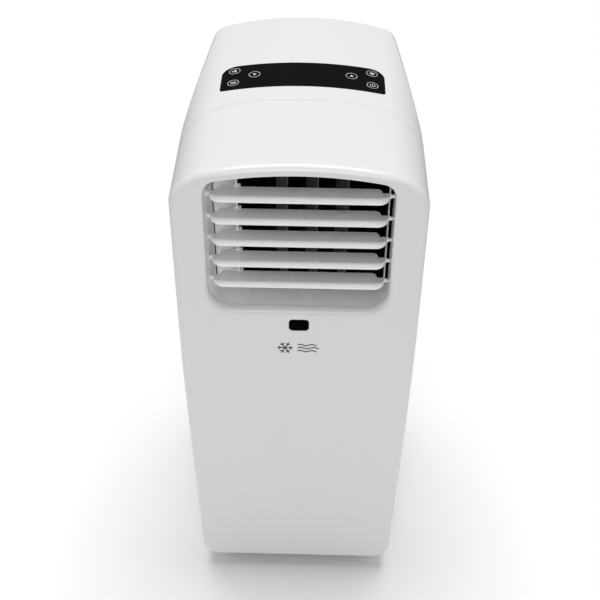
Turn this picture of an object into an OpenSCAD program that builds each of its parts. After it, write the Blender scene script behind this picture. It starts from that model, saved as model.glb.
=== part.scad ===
// Portable air conditioner: a tower cabinet on four casters. The evaporator and its
// double-inlet blower sit above the deck and blow out through five swinging slats.
// The compressor, condenser and hot-air fan sit below the deck and blow out of the
// round collar at the back. Millimetres, +Z up, front towards -Y, origin on the floor
// under the middle of the cabinet.

/* [Cabinet] */
// Overall width
cab_w = 300; // [298:1:302]
// Overall depth
cab_d = 370; // [368:1:372]
// Overall height above the floor
cab_h = 730; // [728:1:732]
// Gap between the floor and the bottom of the shells
foot_gap = 22; // [22:1:23]
// Wall thickness of the shells
wall = 3; // [2.8:0.1:3.2]
// Radius of the arched top
crown_r = 520; // [500:5:540]
// Radius where the top turns into the sides
shoulder_r = 44; // [42:1:46]
// Height below which the sides draw in
taper_z = 440; // [430:5:450]
// How far each side draws in at the bottom
taper_in = 11; // [9:0.5:12]
// Radius of the bottom corners
foot_r = 25; // [23:1:26]
// Radius of the upright front edges
front_r = 10; // [8:1:12]
// Depth at which the rear sides start to lean in
kink_y = -50; // [-54:1:-48]
// Half width at the very back, before its corners are rounded
back_half = 121; // [120:1:122]

/* [Outlet] */
// Half width of the air outlet
outlet_half = 110; // [109:1:111]
// Bottom of the outlet
outlet_z0 = 519.4; // [519:0.1:520]
// Height of the lowest slat's pivot
slat_z0 = 554.3; // [553:0.1:555]
// Distance between slats
slat_pitch = 31.3; // [31:0.1:31.5]
// Depth of the slat pivots
slat_y = -165; // [-165.5:0.5:-164.5]
// Crank arm of each slat
slat_arm = 15; // [14.5:0.5:15]
// Distance between the upright vanes
vane_pitch = 36; // [35:0.5:36]
// How far the vanes are turned to one side
vane_turn = 26; // [0:1:26]

/* [Controls] */
// Half width of the black control strip
strip_half = 103; // [102:1:104]
// Radius of a key
key_r = 7.5; // [7.3:0.1:7.5]
// Running gap round a key
key_gap = 0.3; // [0.25:0.05:0.35]

/* [Running gear] */
// Caster wheel radius
wheel_r = 18; // [17.5:0.5:18]
// Sideways distance of the casters from the middle
caster_x = 74; // [73:1:74]
// Fore and aft distance of the casters from the middle
caster_y = 130; // [129:1:130]
// Trail of each wheel behind its swivel
trail = 8; // [7:0.5:8]

/* [Hidden] */
$fn = 64;
slack = 0.05;
gap = 0.4;
front_y = -cab_d / 2;
back_y = cab_d / 2;
crown_cz = cab_h - crown_r;
shoulder_x = cab_w / 2 - shoulder_r;
shoulder_c = [shoulder_x, crown_cz + sqrt(pow(crown_r - shoulder_r, 2) - shoulder_x * shoulder_x)];
shoulder_a = atan2(shoulder_c[1] - crown_cz, shoulder_x);
foot_c = [half_at(foot_gap + foot_r) - foot_r, foot_gap + foot_r];
rear_r = 18;
back_r = 835;
lean = atan((cab_w / 2 - back_half) / (back_y - kink_y));
rear_c = rear_corner();
back_a = atan2(rear_c[1] - (back_y - back_r), rear_c[0]);

deck_z = 470;
deck_t = 6;
pan_z = foot_gap + wall + gap;
pan_top = 62;
floor_z = pan_z + wall;
grille_half = 98;
upper_z = [500, 684];
lower_z = [84, 304];
collar_z = 400;
collar_bore = 65;
collar_wall = 3.5;
strip_y = [-5, 55];
strip_front_r = 4;
strip_back_r = 20;
key_spots = [[-87, 42], [-61, 28.5], [-87, 12.5], [87, 42], [61, 28.5], [87, 12.5]];
handle_y = [-46, 42];
handle_z = [630, 668];
handle_x = 125;
pin_r = 2;
peg_r = 1.5;
link_x = [-75, -72];
vane_x0 = -21.5;
vane_last = 2;
vane_y = -122;
vane_z = [533, 698];
vane_arm = 13;
vane_link_z = [612, 616];
duct_left = -78;
blower = [20, 590];
blower_x = [-76, 108];
wheel_x = [-44, 76];
shaft_r = 4;
hot_fan_z = 185;
hot_fan_y = [72, 112];
hot_scroll_y = [66, 122];
compressor_xy = [-53, -52];
accumulator_xy = [24, -80];
drain_upper = [-104, 460];
drain_lower = [0, 40];
screw_spots = [[-90, 473], [90, 473], [-90, 45], [90, 45]];
screw_r = 2;
post_x = [118, 130];

// ---- outlines -------------------------------------------------------------

function arc(c, r, a0, a1, n) =
    [for (i = [0:n]) c + r * [cos(a0 + (a1 - a0) * i / n), sin(a0 + (a1 - a0) * i / n)]];
function rest(pts) = [for (i = [1:len(pts) - 1]) pts[i]];
function flipped(pts) =
    [for (i = [len(pts) - 1:-1:0]) if (pts[i][0] > 0.01) [-pts[i][0], pts[i][1]]];
function both_sides(pts) = concat(pts, flipped(pts));

function half_at(z) =
    cab_w / 2 - taper_in * pow(max(0, taper_z - z) / (taper_z - foot_gap), 1.3);

function rear_corner() =
    let (out = [cos(lean), sin(lean)],
         along = [-sin(lean), cos(lean)],
         q = [cab_w / 2, kink_y] - rear_r * out - [0, back_y - back_r],
         t = -(q * along) + sqrt(pow(q * along, 2) - q * q + pow(back_r - rear_r, 2)))
    [cab_w / 2, kink_y] - rear_r * out + t * along;

function front_outline(g) = both_sides(concat(
    arc([0, crown_cz], crown_r - g, 90, shoulder_a, 8),
    rest(arc(shoulder_c, shoulder_r - g, shoulder_a, 0, 9)),
    [for (i = [0:7]) let (z = taper_z + (foot_c[1] - taper_z) * i / 7) [half_at(z) - g, z]],
    rest(arc(foot_c, foot_r - g, 0, -90, 6))));

function plan_outline(g) = both_sides(concat(
    arc([cab_w / 2 - front_r, front_y + front_r], front_r - g, -90, 0, 5),
    [[cab_w / 2 - g, kink_y]],
    arc(rear_c, rear_r - g, lean, back_a, 8),
    rest(arc([0, back_y - back_r], back_r - g, back_a, 90, 4))));

function outlet_outline(g) =
    let (top_r = crown_r - 13.5,
         corner = 18,
         foot = 30,
         cx = outlet_half - corner,
         cz = crown_cz + sqrt(pow(top_r - corner, 2) - cx * cx),
         a = atan2(cz - crown_cz, cx))
    both_sides(concat(
        arc([0, crown_cz], top_r - g, 90, a, 6),
        rest(arc([cx, cz], corner - g, a, 0, 6)),
        arc([outlet_half - foot, outlet_z0 + foot], foot - g, 0, -90, 6)));

function seam_at(x) = -36.5 - 25 * pow(min(1, abs(x) / 137), 4);

// ---- building helpers -----------------------------------------------------

module along_x(x0, x1) {
    translate([x0, 0, 0]) rotate([90, 0, 90]) linear_extrude(height = x1 - x0) children();
}

module along_y(y0, y1) {
    translate([0, y1, 0]) rotate([90, 0, 0]) linear_extrude(height = y1 - y0) children();
}

module along_z(z0, z1) {
    translate([0, 0, z0]) linear_extrude(height = z1 - z0) children();
}

module rod_x(y, z, r, x0, x1) {
    translate([x0, y, z]) rotate([0, 90, 0]) cylinder(r = r, h = x1 - x0);
}

module rod_y(x, z, r, y0, y1) {
    translate([x, y1, z]) rotate([90, 0, 0]) cylinder(r = r, h = y1 - y0);
}

module rod_z(x, y, r, z0, z1) {
    translate([x, y, z0]) cylinder(r = r, h = z1 - z0);
}

module block(x, y, z) {
    translate([x[0], y[0], z[0]]) cube([x[1] - x[0], y[1] - y[0], z[1] - z[0]]);
}

module both() {
    children();
    mirror([1, 0, 0]) children();
}

// The cabinet's outer form, drawn in by g on every side.
module cabinet(g) {
    intersection() {
        along_y(front_y - 5, back_y + 5) polygon(front_outline(g));
        along_z(0, cab_h + 5) polygon(plan_outline(g));
    }
}

// Everything behind the joint line between the two shells, moved by dy.
module behind_seam(dy) {
    n = 12;
    edge = cab_w / 2 + 5;
    far = back_y + 5;
    line = [for (i = [-n:n]) [137 * i / n, seam_at(137 * i / n) + dy]];
    along_z(0, cab_h + 10)
        polygon(concat([[-edge, far], [-edge, line[0][1]]], line,
            [[edge, line[2 * n][1]], [edge, far]]));
}

module strip(g) {
    f = strip_front_r - g;
    b = strip_back_r - g;
    y0 = strip_y[0] + g;
    y1 = strip_y[1] - g;
    half = strip_half - g;
    polygon(both_sides(concat(
        arc([half - f, y0 + f], f, -90, 0, 4),
        arc([half - b, y1 - b], b, 0, 90, 8))));
}

module under_crown(g) {
    rod_y(0, crown_cz, crown_r - g, front_y, back_y, $fn = 360);
}

// ---- shells ---------------------------------------------------------------

module bottom_opening() {
    block([-108, 108], [-170, 170], [0, foot_gap + wall + 1]);
}

module front_housing() {
    color("white") difference() {
        cabinet(0);
        cabinet(wall);
        behind_seam(-gap);
        bottom_opening();
        along_y(front_y - 1, front_y + wall + 1) polygon(outlet_outline(0));
        along_y(front_y - 1, front_y + wall + 1) window(0.2);
        along_y(front_y - 1, front_y + 0.8) emblem(0.15);
    }
}

module rear_housing() {
    ledge = 3.5;
    difference() {
        color("white") difference() {
            cabinet(0);
            cabinet(wall);
        }
        difference() {
            block([-cab_w, cab_w], [-cab_d, cab_d], [-1, cab_h + 5]);
            behind_seam(0);
        }
        bottom_opening();
        difference() {
            along_z(cab_h - 60, cab_h + 1) strip(0);
            under_crown(2);
        }
        along_z(cab_h - 60, cab_h + 1) strip(ledge);
        both() block([handle_x, cab_w], handle_y, handle_z);
        block([-grille_half, grille_half], [150, back_y + 1], upper_z);
        block([-grille_half, grille_half], [150, back_y + 1], lower_z);
        rod_y(0, collar_z, collar_bore + collar_wall + gap, 150, back_y + 1);
        rod_y(drain_upper[0], drain_upper[1], 9.5, 150, back_y + 1);
        rod_y(drain_lower[0], drain_lower[1], 9.5, 150, back_y + 1);
        rod_y(gland[0], gland[1], gland_r + 0.3, 150, back_y + 1);
        for (s = screw_spots) rod_y(s[0], s[1], screw_r + 0.3, 150, back_y + 1);
    }
}

module caster_spots() {
    for (x = [-caster_x, caster_x], y = [-caster_y, caster_y]) translate([x, y, 0]) children();
}

well_r = 30;
well_top = 44;
swivel_r = 5;

module base_pan() {
    color("dimgray") difference() {
        union() {
            difference() {
                intersection() {
                    cabinet(wall + gap);
                    block([-cab_w, cab_w], [-cab_d, cab_d], [pan_z, pan_top]);
                }
                intersection() {
                    cabinet(2 * wall + gap);
                    block([-cab_w, cab_w], [-cab_d, cab_d], [floor_z, pan_top + 1]);
                }
            }
            caster_spots() translate([0, 0, pan_z]) cylinder(r = well_r + 2, h = well_top + 3 - pan_z);
            caster_spots() translate([0, 0, well_top]) cylinder(r = 10, h = 15);
            intersection() {
                cabinet(wall + gap);
                both() for (y = [-165, 45]) block([post_x[0], post_x[1] + 5], [y, y + 12], [pan_z, 40]);
            }
            intersection() {
                cabinet(wall + gap);
                rod_y(drain_lower[0], drain_lower[1], 12, 166, back_y);
            }
        }
        caster_spots() cylinder(r = well_r, h = well_top);
        caster_spots() cylinder(r = swivel_r + slack, h = 57);
        block([-cab_w, cab_w], [-cab_d, cab_d], [-1, pan_z]);
        rod_y(drain_lower[0], drain_lower[1], shaft_r, 160, back_y);
        rod_y(drain_lower[0], drain_lower[1], 9.5, 178.4, back_y);
        for (s = screw_spots) rod_y(s[0], s[1], screw_r + slack, 160, back_y);
    }
}

module partition_deck() {
    rim = 12;
    color("silver") difference() {
        union() {
            difference() {
                intersection() {
                    cabinet(wall + gap);
                    block([-cab_w, cab_w], [-cab_d, cab_d], [deck_z, deck_z + rim]);
                }
                intersection() {
                    cabinet(2 * wall + gap);
                    block([-cab_w, cab_w], [-cab_d, cab_d], [deck_z + deck_t, deck_z + rim + 1]);
                }
            }
            block([drain_upper[0] - 4, drain_upper[0] + 4], [130, 160], [drain_upper[1], deck_z + 1]);
            rod_y(drain_upper[0], drain_upper[1], 6, 126, 174);
        }
        rod_y(drain_upper[0], drain_upper[1], shaft_r, 140, 175);
        rod_z(drain_upper[0], 146, 3, drain_upper[1], deck_z + 20);
        rod_z(suction_xy[0], suction_xy[1], 8, deck_z - 1, deck_z + 20);
        for (s = screw_spots) rod_y(s[0], s[1], screw_r + slack, 160, back_y);
    }
}

// Four folded angle posts that carry the deck above the base pan.
module support_posts() {
    color("lightgray") both() for (y = [-165, 45]) {
        block(post_x, [y, y + 2], [40, deck_z]);
        block([post_x[1] - 2, post_x[1]], [y + 1, y + 12], [40, deck_z]);
    }
}

// ---- controls and front trim ----------------------------------------------

module window(g) {
    r = 5;
    w = 24.5 + 2 * g;
    h = 17.8 + 2 * g;
    translate([1.25, 495.4]) {
        square([w, h - 2 * r], center = true);
        square([w - 2 * r, h], center = true);
        for (x = [-1, 1], y = [-1, 1]) translate([x * (w / 2 - r), y * (h / 2 - r)]) circle(r = r);
    }
}

module ir_window() {
    color("black") along_y(front_y, front_y + 7) window(0);
}

// A snowflake and three air waves.
module emblem(g) {
    translate([-16, 457]) for (i = [0:2]) rotate(60 * i) square([20 + 2 * g, 1.5 + 2 * g], center = true);
    translate([-16, 457]) for (i = [0:5], s = [-1, 1])
        rotate(60 * i) translate([5.5, 0]) rotate(50 * s) translate([1.8, 0])
            square([4 + 2 * g, 1.2 + 2 * g], center = true);
    for (row = [-1:1]) {
        x1 = 27 - 3 * abs(row);
        low = [for (x = [0:2:24]) [x / 24 * (x1 + g) - g * (24 - x) / 24, wave(x, row) - 0.8 - g]];
        high = [for (x = [24:-2:0]) [x / 24 * (x1 + g) - g * (24 - x) / 24, wave(x, row) + 0.8 + g]];
        polygon(concat(low, high));
    }
}

function wave(x, row) = 457 + 5.2 * row + 1.3 * sin(x * 25);

module front_emblem() {
    color("dimgray") along_y(front_y, front_y + 0.8) emblem(0);
}

module control_overlay() {
    color([0.06, 0.06, 0.07]) difference() {
        along_z(cab_h - 20, cab_h + 1) strip(0.25);
        under_crown(1.9);
        difference() {
            block([-cab_w, cab_w], [-cab_d, cab_d], [cab_h - 30, cab_h + 5]);
            under_crown(0);
        }
        for (k = key_spots) rod_z(k[0], k[1], key_r + key_gap, cab_h - 40, cab_h + 5);
    }
}

board_z = 702;
board_t = 1.6;
switch_h = 3.4;

function crown_at(x) = crown_cz + sqrt(crown_r * crown_r - x * x);

// A key rides in its hole in the overlay and its stem stops just above a switch.
module key(i) {
    x = key_spots[i][0];
    y = key_spots[i][1];
    color([0.07, 0.07, 0.08]) intersection() {
        union() {
            rod_z(x, y, key_r, crown_at(x) - 6, cab_h + 5);
            rod_z(x, y, 2.5, board_z + board_t + switch_h + 1, crown_at(x) - 5);
        }
        under_crown(0);
    }
}

module control_board() {
    color("darkgreen") {
        block([-98, 98], [-8, 60], [board_z, board_z + board_t]);
        for (k = key_spots)
            block([k[0] - 3, k[0] + 3], [k[1] - 3, k[1] + 3], [board_z, board_z + board_t + switch_h]);
        for (x = [-18, 0, 18]) block([x - 6, x + 6], [20, 32], [board_z, board_z + 5]);
        intersection() {
            both() rod_z(70, 57.5, 2, board_z, cab_h);
            under_crown(wall + 0.1);
        }
    }
}

// ---- outlet ---------------------------------------------------------------

liner_y = [front_y + wall + 0.3, -100];
liner_wall = 2.5;

function slat_z(i) = slat_z0 + slat_pitch * (5 - i);

module louver_frame() {
    color("gainsboro") difference() {
        union() {
            difference() {
                along_y(liner_y[0], liner_y[1]) polygon(outlet_outline(-liner_wall));
                along_y(liner_y[0] - 1, liner_y[1] + 1) polygon(outlet_outline(0));
            }
            intersection() {
                along_y(liner_y[0], liner_y[1]) polygon(outlet_outline(-1));
                union() {
                    along_z(outlet_z0 - 2, 725) polygon([[-111, -150], [duct_left, -129], [duct_left, -100],
                        [duct_left - 2, -100], [duct_left - 2, -128], [-111, -147.5]]);
                    block([duct_left - 1, 111], [vane_y - 5, vane_y + 5], [outlet_z0 - 2, vane_z[0] - 1]);
                    block([duct_left - 1, 111], [vane_y - 5, vane_y + 5], [vane_z[1] + 1, vane_z[1] + 7]);
                }
            }
        }
        for (i = [1:5]) rod_x(slat_y, slat_z(i), pin_r + slack, -120, 120);
        for (i = [0:vane_last]) rod_z(vane_x(i), vane_y, pin_r + slack, outlet_z0 - 10, 720);
    }
}

// A slat is thick and round at its nose and thin at its back edge. Its ends carry the
// pivot pins, and a small crank arm at its back carries the peg of the link.
module slat(i) {
    nose_r = 4.8;
    nose = [-14, 2.4];
    end_x = 103.5;
    tail_x = 95.5;
    corner = 13;
    z = slat_z(i);
    peg_y = slat_y + slat_arm;
    section = concat(arc(nose, nose_r, 90, 270, 10), [[12.5, -0.4], [12.5, 1.4]]);
    pin_left = i == 3 ? -121 : -112.3;
    color("whitesmoke") {
        intersection() {
            along_x(-end_x, end_x) translate([slat_y, z]) polygon(section);
            along_z(z - 10, z + 12) difference() {
                polygon(both_sides(concat(
                    arc([end_x - corner, slat_y + nose[0] - nose_r + corner], corner, -90, 0, 6),
                    [[end_x, slat_y + 3], [tail_x, slat_y + 5], [tail_x, slat_y + 13]])));
                translate([-78.5, slat_y + 7]) square([7, 10]);
            }
        }
        both() rod_x(slat_y, z, 3, end_x - 4, 107);
        rod_x(slat_y, z, pin_r, pin_left, 112.3);
        block([-71.5, -68.5], [slat_y + 5, peg_y], [z - 0.3, z + 2]);
        rod_x(peg_y, z, 3.2, -71.5, -68.5);
        rod_x(peg_y, z, peg_r, -77.5, -70);
    }
}

module louver_link() {
    y = slat_y + slat_arm;
    color("whitesmoke") difference() {
        union() {
            block(link_x, [y - 3, y + 3], [slat_z(5), slat_z(1)]);
            for (i = [1:5]) rod_x(y, slat_z(i), 4.6, link_x[0], link_x[1]);
        }
        for (i = [1:5]) rod_x(y, slat_z(i), peg_r + 0.1, link_x[0] - 1, link_x[1] + 1);
    }
}

module swing_motor() {
    z = slat_z(3);
    color("silver") difference() {
        union() {
            rod_x(slat_y, z, 14, -138, -117);
            block([-120, -117], [slat_y - 3, slat_y + 3], [z - 20, z + 20]);
        }
        rod_x(slat_y, z, pin_r + slack, -123, -110);
    }
}

function vane_x(i) = vane_x0 + vane_pitch * i;

// An upright vane, notched at its back for the link, with a crank peg across the notch.
module vane(i) {
    t = 1.6;
    color("dimgray") translate([vane_x(i), vane_y, 0]) rotate(vane_turn) {
        difference() {
            block([-t / 2, t / 2], [-16, 16], vane_z);
            block([-t, t], [vane_arm - 4.5, 17], [vane_link_z[0] - 1.5, vane_link_z[1] + 1.5]);
        }
        rod_z(0, 0, pin_r, vane_z[0] - 5, vane_z[0]);
        rod_z(0, 0, pin_r, vane_z[1], vane_z[1] + 5);
        rod_z(0, 0, 3, vane_z[0], vane_z[0] + 6);
        rod_z(0, 0, 3, vane_z[1] - 6, vane_z[1]);
        rod_z(0, vane_arm, 1.2, vane_link_z[0] - 2, vane_link_z[1] + 2);
    }
}

function vane_peg(i) = [vane_x(i) - vane_arm * sin(vane_turn), vane_y + vane_arm * cos(vane_turn)];

module vane_link() {
    a = vane_peg(0);
    b = vane_peg(vane_last);
    color("dimgray") difference() {
        union() {
            block([a[0], b[0]], [a[1] - 2, a[1] + 2], vane_link_z);
            for (i = [0:vane_last]) rod_z(vane_peg(i)[0], a[1], 3, vane_link_z[0], vane_link_z[1]);
        }
        for (i = [0:vane_last]) rod_z(vane_peg(i)[0], a[1], 1.3, vane_link_z[0] - 1, vane_link_z[1] + 1);
    }
}

// ---- cold side ------------------------------------------------------------

// A finned coil: a fin pack between two end plates, with return bends at both ends.
module coil(x, y, z, foot, bends) {
    plate = 2.5;
    block([-x, x], y, z);
    both() {
        block([x - 0.1, x + plate], y, [foot, z[1]]);
        for (b = bends) translate([x + plate - 0.1, (y[0] + y[1]) / 2, b])
            rotate([-90, 0, 0]) rotate([0, 0, -90])
                rotate_extrude(angle = 180) translate([6, 0]) circle(r = 2.5);
    }
}

module evaporator_coil() {
    color("lightsteelblue") coil(108, [118, 146], [deck_z + deck_t + 4, 684], deck_z + deck_t,
        [for (i = [0:4]) 530 + 30 * i]);
}

// Air leaves the scroll through a throat that opens towards the slats.
function scroll_outline(g) = concat(
    [for (i = [0:18]) let (a = 135 - 225 * i / 18, r = 66 + 34 * i / 18 + g)
        blower + r * [cos(a), sin(a)]],
    [[-98, 522 - g], [-98, 700 + g]]);

module blower_scroll() {
    t = 2;
    color("white") difference() {
        union() {
            along_x(blower_x[0], blower_x[1]) polygon(scroll_outline(t));
            for (x = [-60, 70]) block([x, x + 20], [5, 35], [deck_z + deck_t, 492]);
        }
        along_x(blower_x[0] + t, blower_x[1] - t) polygon(scroll_outline(0));
        block([blower_x[0] + t, blower_x[1] - t], [-99, -90], [523, 699]);
        rod_x(blower[0], blower[1], 50, blower_x[0] - 1, blower_x[1] + 1);
    }
}

module blower_motor() {
    x = [-134, -84];
    color("silver") difference() {
        union() {
            rod_x(blower[0], blower[1], 33, x[0], x[1]);
            rod_x(blower[0], blower[1], 12, x[1] - 1, x[1] + 6);
            block([-124, -104], [blower[0] - 18, blower[0] + 18], [deck_z + deck_t, blower[1]]);
        }
        rod_x(blower[0], blower[1], shaft_r + slack, x[0] + 8, x[1] + 7);
    }
}

// Blades standing in a ring, drawn along +Z.
module blade_ring(r, depth, count, h) {
    linear_extrude(height = h) for (i = [0:count - 1])
        rotate(360 * i / count) translate([r - depth, 0]) rotate(25) square([depth, 1.6]);
}

module ring(r, w, z0, z1) {
    translate([0, 0, z0]) linear_extrude(height = z1 - z0) difference() {
        circle(r = r);
        circle(r = r - w);
    }
}

module blower_wheel() {
    r = 60;
    h = wheel_x[1] - wheel_x[0];
    color([0.15, 0.16, 0.18]) translate([wheel_x[0], blower[0], blower[1]]) rotate([0, 90, 0]) {
        translate([0, 0, 1]) blade_ring(r - 1, 6, 30, h - 2);
        ring(r, 8, 0, 3);
        ring(r, 8, h - 3, h);
        translate([0, 0, h / 2 - 1.5]) cylinder(r = r, h = 3);
        translate([0, 0, h / 2 - 15]) cylinder(r = 12, h = 30);
        translate([0, 0, -80]) cylinder(r = shaft_r, h = 80 + h / 2 + 20);
    }
}

module upper_filter() {
    filter([upper_z[0] + 2, upper_z[1] - 2]);
}

module lower_filter() {
    filter([lower_z[0] + 2, lower_z[1] - 2]);
}

// A fine mesh sheet in a ribbed plastic frame.
module filter(z) {
    half = grille_half - 2;
    y = [164, 169];
    color("gray") {
        difference() {
            block([-half, half], y, z);
            block([-half + 5, half - 5], [y[0] - 1, y[1] + 1], [z[0] + 5, z[1] - 5]);
        }
        for (x = [-32, 32]) block([x - 1, x + 1], y, [z[0] + 4, z[1] - 4]);
        block([-half + 4, half - 4], y, [(z[0] + z[1]) / 2 - 1, (z[0] + z[1]) / 2 + 1]);
        block([-half + 4, half - 4], [y[0] + 1, y[0] + 1.6], [z[0] + 4, z[1] - 4]);
    }
}

// A removable grille that carries on the curve of the back.
module grille(z) {
    inset = 0.5;
    slot = 5;
    pitch = 9.5;
    rows = floor((z[1] - z[0] - 22) / pitch);
    z_first = (z[0] + z[1]) / 2 - (rows - 1) * pitch / 2;
    color("white") difference() {
        intersection() {
            difference() {
                rod_z(0, back_y - back_r, back_r - 0.2, z[0] + inset, z[1] - inset);
                rod_z(0, back_y - back_r, back_r - 3.2, z[0], z[1]);
            }
            block([-grille_half + inset, grille_half - inset], [150, back_y], z);
        }
        for (i = [0:rows - 1], x = [-88, -28, 32])
            block([x, x + 56], [150, back_y + 1], [z_first + i * pitch - slot / 2, z_first + i * pitch + slot / 2]);
    }
    color("white") both() for (dz = [8, z[1] - z[0] - 12])
        block([89, 93], [169, 178], [z[0] + dz, z[0] + dz + 4]);
}

// ---- hot side -------------------------------------------------------------

module condenser_coil() {
    color("lightsteelblue") coil(108, [128, 152], [64, 310], floor_z,
        [for (i = [0:5]) 92 + 34 * i]);
}

function hot_outline(g) = concat(
    [for (i = [0:20]) let (a = 70 + 290 * i / 20, r = 82 + 30 * i / 20 + g)
        [0, hot_fan_z] + r * [cos(a), sin(a)]],
    [[112 + g, 330], [12 - g, 330]]);

module condenser_scroll() {
    t = 2;
    color("white") difference() {
        union() {
            along_y(hot_scroll_y[0], hot_scroll_y[1]) polygon(hot_outline(t));
            both() block([40, 60], [68, 88], [floor_z, 100]);
        }
        along_y(hot_scroll_y[0] + t, hot_scroll_y[1] - t) polygon(hot_outline(0));
        block([13, 111], [hot_scroll_y[0] + t, hot_scroll_y[1] - t], [320, 331]);
        rod_y(0, hot_fan_z, 64, hot_scroll_y[1] - t - 1, hot_scroll_y[1] + 1);
        rod_y(0, hot_fan_z, 14, hot_scroll_y[0] - 1, hot_scroll_y[0] + t + 1);
    }
}

module condenser_fan_motor() {
    color("silver") difference() {
        union() {
            rod_y(0, hot_fan_z, 36, 14, 58);
            rod_y(0, hot_fan_z, 12, 57, 64);
            block([-22, 22], [22, 50], [floor_z, hot_fan_z]);
        }
        rod_y(0, hot_fan_z, shaft_r + slack, 24, 65);
    }
}

module condenser_fan_wheel() {
    r = 76;
    h = hot_fan_y[1] - hot_fan_y[0];
    color([0.15, 0.16, 0.18]) translate([0, hot_fan_y[0], hot_fan_z]) rotate([-90, 0, 0]) {
        translate([0, 0, 1]) blade_ring(r - 1, 8, 30, h - 2);
        cylinder(r = r, h = 3);
        ring(r, 10, h - 3, h);
        cylinder(r = 13, h = 24);
        translate([0, 0, -40]) cylinder(r = shaft_r, h = 60);
    }
}

module exhaust_duct() {
    t = 2;
    x = [-84, 116];
    y = [64, 149.5];
    z = [331, deck_z - 1];
    color("silver") difference() {
        block(x, y, z);
        block([x[0] + t, x[1] - t], [y[0] + t, y[1] - t], [z[0] + t, z[1] - t]);
        block([14, 110], [70, 118], [z[0] - 1, z[0] + t + 1]);
        rod_y(0, collar_z, collar_bore, y[1] - t - 1, y[1] + 1);
    }
}

module exhaust_collar() {
    outer = collar_bore + collar_wall;
    color("white") difference() {
        union() {
            rod_y(0, collar_z, outer, 150, back_y - 0.5);
            intersection() {
                rod_y(0, collar_z, 78, 150, 153);
                block([-80, 80], [149, 154], [332, deck_z - 1]);
            }
        }
        rod_y(0, collar_z, collar_bore, 149, back_y);
    }
}

// The compressor and the accumulator strapped beside it.
module compressor() {
    r = 52;
    accumulator();
    color([0.12, 0.12, 0.13]) translate([compressor_xy[0], compressor_xy[1], 0]) {
        rotate_extrude() polygon(concat([[0, 51], [r - 6, 51], [r, 58]],
            arc([r - 24, 206], 24, 0, 80, 6), [[0, 234]]));
        difference() {
            union() {
                translate([0, 0, 48]) cylinder(r = 50, h = 4);
                for (a = [90, 210, 330]) rotate(a) translate([0, -9, 48]) cube([69, 18, 3]);
            }
            for (a = [90, 210, 330]) rotate(a) translate([60, 0, 47]) cylinder(r = 3.5, h = 6);
        }
        translate([0, 0, 230]) cylinder(r = 7, h = 14);
        translate([22, 0, 228]) cylinder(r = 12, h = 10);
    }
}

module compressor_grommets() {
    color([0.1, 0.1, 0.1]) translate([compressor_xy[0], compressor_xy[1], 0])
        for (a = [90, 210, 330]) rotate(a) translate([60, 0, 0]) difference() {
            union() {
                rod_z(0, 0, 9, floor_z, 47.9);
                rod_z(0, 0, 3.3, 47, 52);
            }
            rod_z(0, 0, 2, 34, 53);
        }
}

module accumulator() {
    r = 22;
    color([0.12, 0.12, 0.13]) translate([accumulator_xy[0], accumulator_xy[1], 0])
        rotate_extrude() polygon(concat([[0, 70]], arc([8, 84], 14, -90, 0, 4),
            arc([8, 190], 14, 0, 90, 4), [[0, 204]]));
}

module pipe(points, r) {
    for (i = [0:len(points) - 2]) {
        d = points[i + 1] - points[i];
        translate(points[i]) rotate([0, acos(d[2] / norm(d)), atan2(d[1], d[0])])
            cylinder(r = r, h = norm(d));
    }
    for (p = points) translate(p) sphere(r = r + 0.4);
}

suction_xy = [-116.5, 110];
suction_route = [[-116.5, 126, 500], [-116.5, 110, 500], [-116.5, 110, 345], [-100, 110, 345],
    [-100, -80, 345], [24, -80, 345], [24, -80, 209.5]];
discharge_route = [[-53, -52, 250], [-53, -52, 316], [-106, -52, 316], [-106, 100, 316],
    [-115.5, 108, 316], [-115.5, 140, 316], [-115.5, 140, 302]];

module refrigerant_pipes() {
    color([0.72, 0.45, 0.25]) {
        pipe(suction_route, 5);
        pipe(discharge_route, 4);
    }
}

module electrical_box() {
    color("silver") {
        difference() {
            block([30, 112], [-172, -70], [340, deck_z - 0.2]);
            block([32, 110], [-170, -68], [342, deck_z - 2]);
        }
        block([36, 106], [-160, -158], [350, 460]);
        rod_z(60, -110, 18, 342, 420);
    }
}

// ---- side and rear fittings -----------------------------------------------

module handle_cups() {
    t = 2.5;
    color("white") both() difference() {
        intersection() {
            block([handle_x - t, cab_w / 2], [handle_y[0] - t, handle_y[1] + t],
                [handle_z[0] - t, handle_z[1] + t]);
            cabinet(wall + gap);
        }
        block([handle_x, cab_w], handle_y, handle_z);
    }
}

gland = [104, 330];
gland_r = 7;

module cord_gland() {
    color([0.1, 0.1, 0.1]) difference() {
        union() {
            rod_y(gland[0], gland[1], gland_r, 158, 182);
            rod_y(gland[0], gland[1], 10, 180.6, 184);
        }
        rod_y(gland[0], gland[1], 3.6, 150, 190);
    }
}

module housing_screws() {
    color("silver") for (s = screw_spots) {
        rod_y(s[0], s[1], screw_r, 168, 181);
        rod_y(s[0], s[1], 4, 180.8, 183);
    }
}

module drain_cap(spot, y) {
    color([0.1, 0.1, 0.1]) {
        rod_y(spot[0], spot[1], shaft_r - slack, y - 12, y + 1);
        rod_y(spot[0], spot[1], 8.5, y + 0.3, y + 5);
        block([spot[0] - 1, spot[0] + 1], [y + 2, y + 6], [spot[1] - 6, spot[1] + 6]);
    }
}

// ---- casters --------------------------------------------------------------

web = 4;

module caster(x, y) {
    color([0.2, 0.2, 0.21]) translate([x, y, 0]) difference() {
        union() {
            rod_x(trail, wheel_r, 7, -web, web);
            block([-web, web], [-9, trail + 7], [wheel_r, 38.5]);
            translate([0, 0, 37.5]) cylinder(r = 15, h = 3.5);
            translate([0, 0, 38]) cylinder(r = swivel_r, h = 18.5);
        }
        rod_x(trail, wheel_r, 3 + slack, -20, 20);
    }
}

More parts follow.
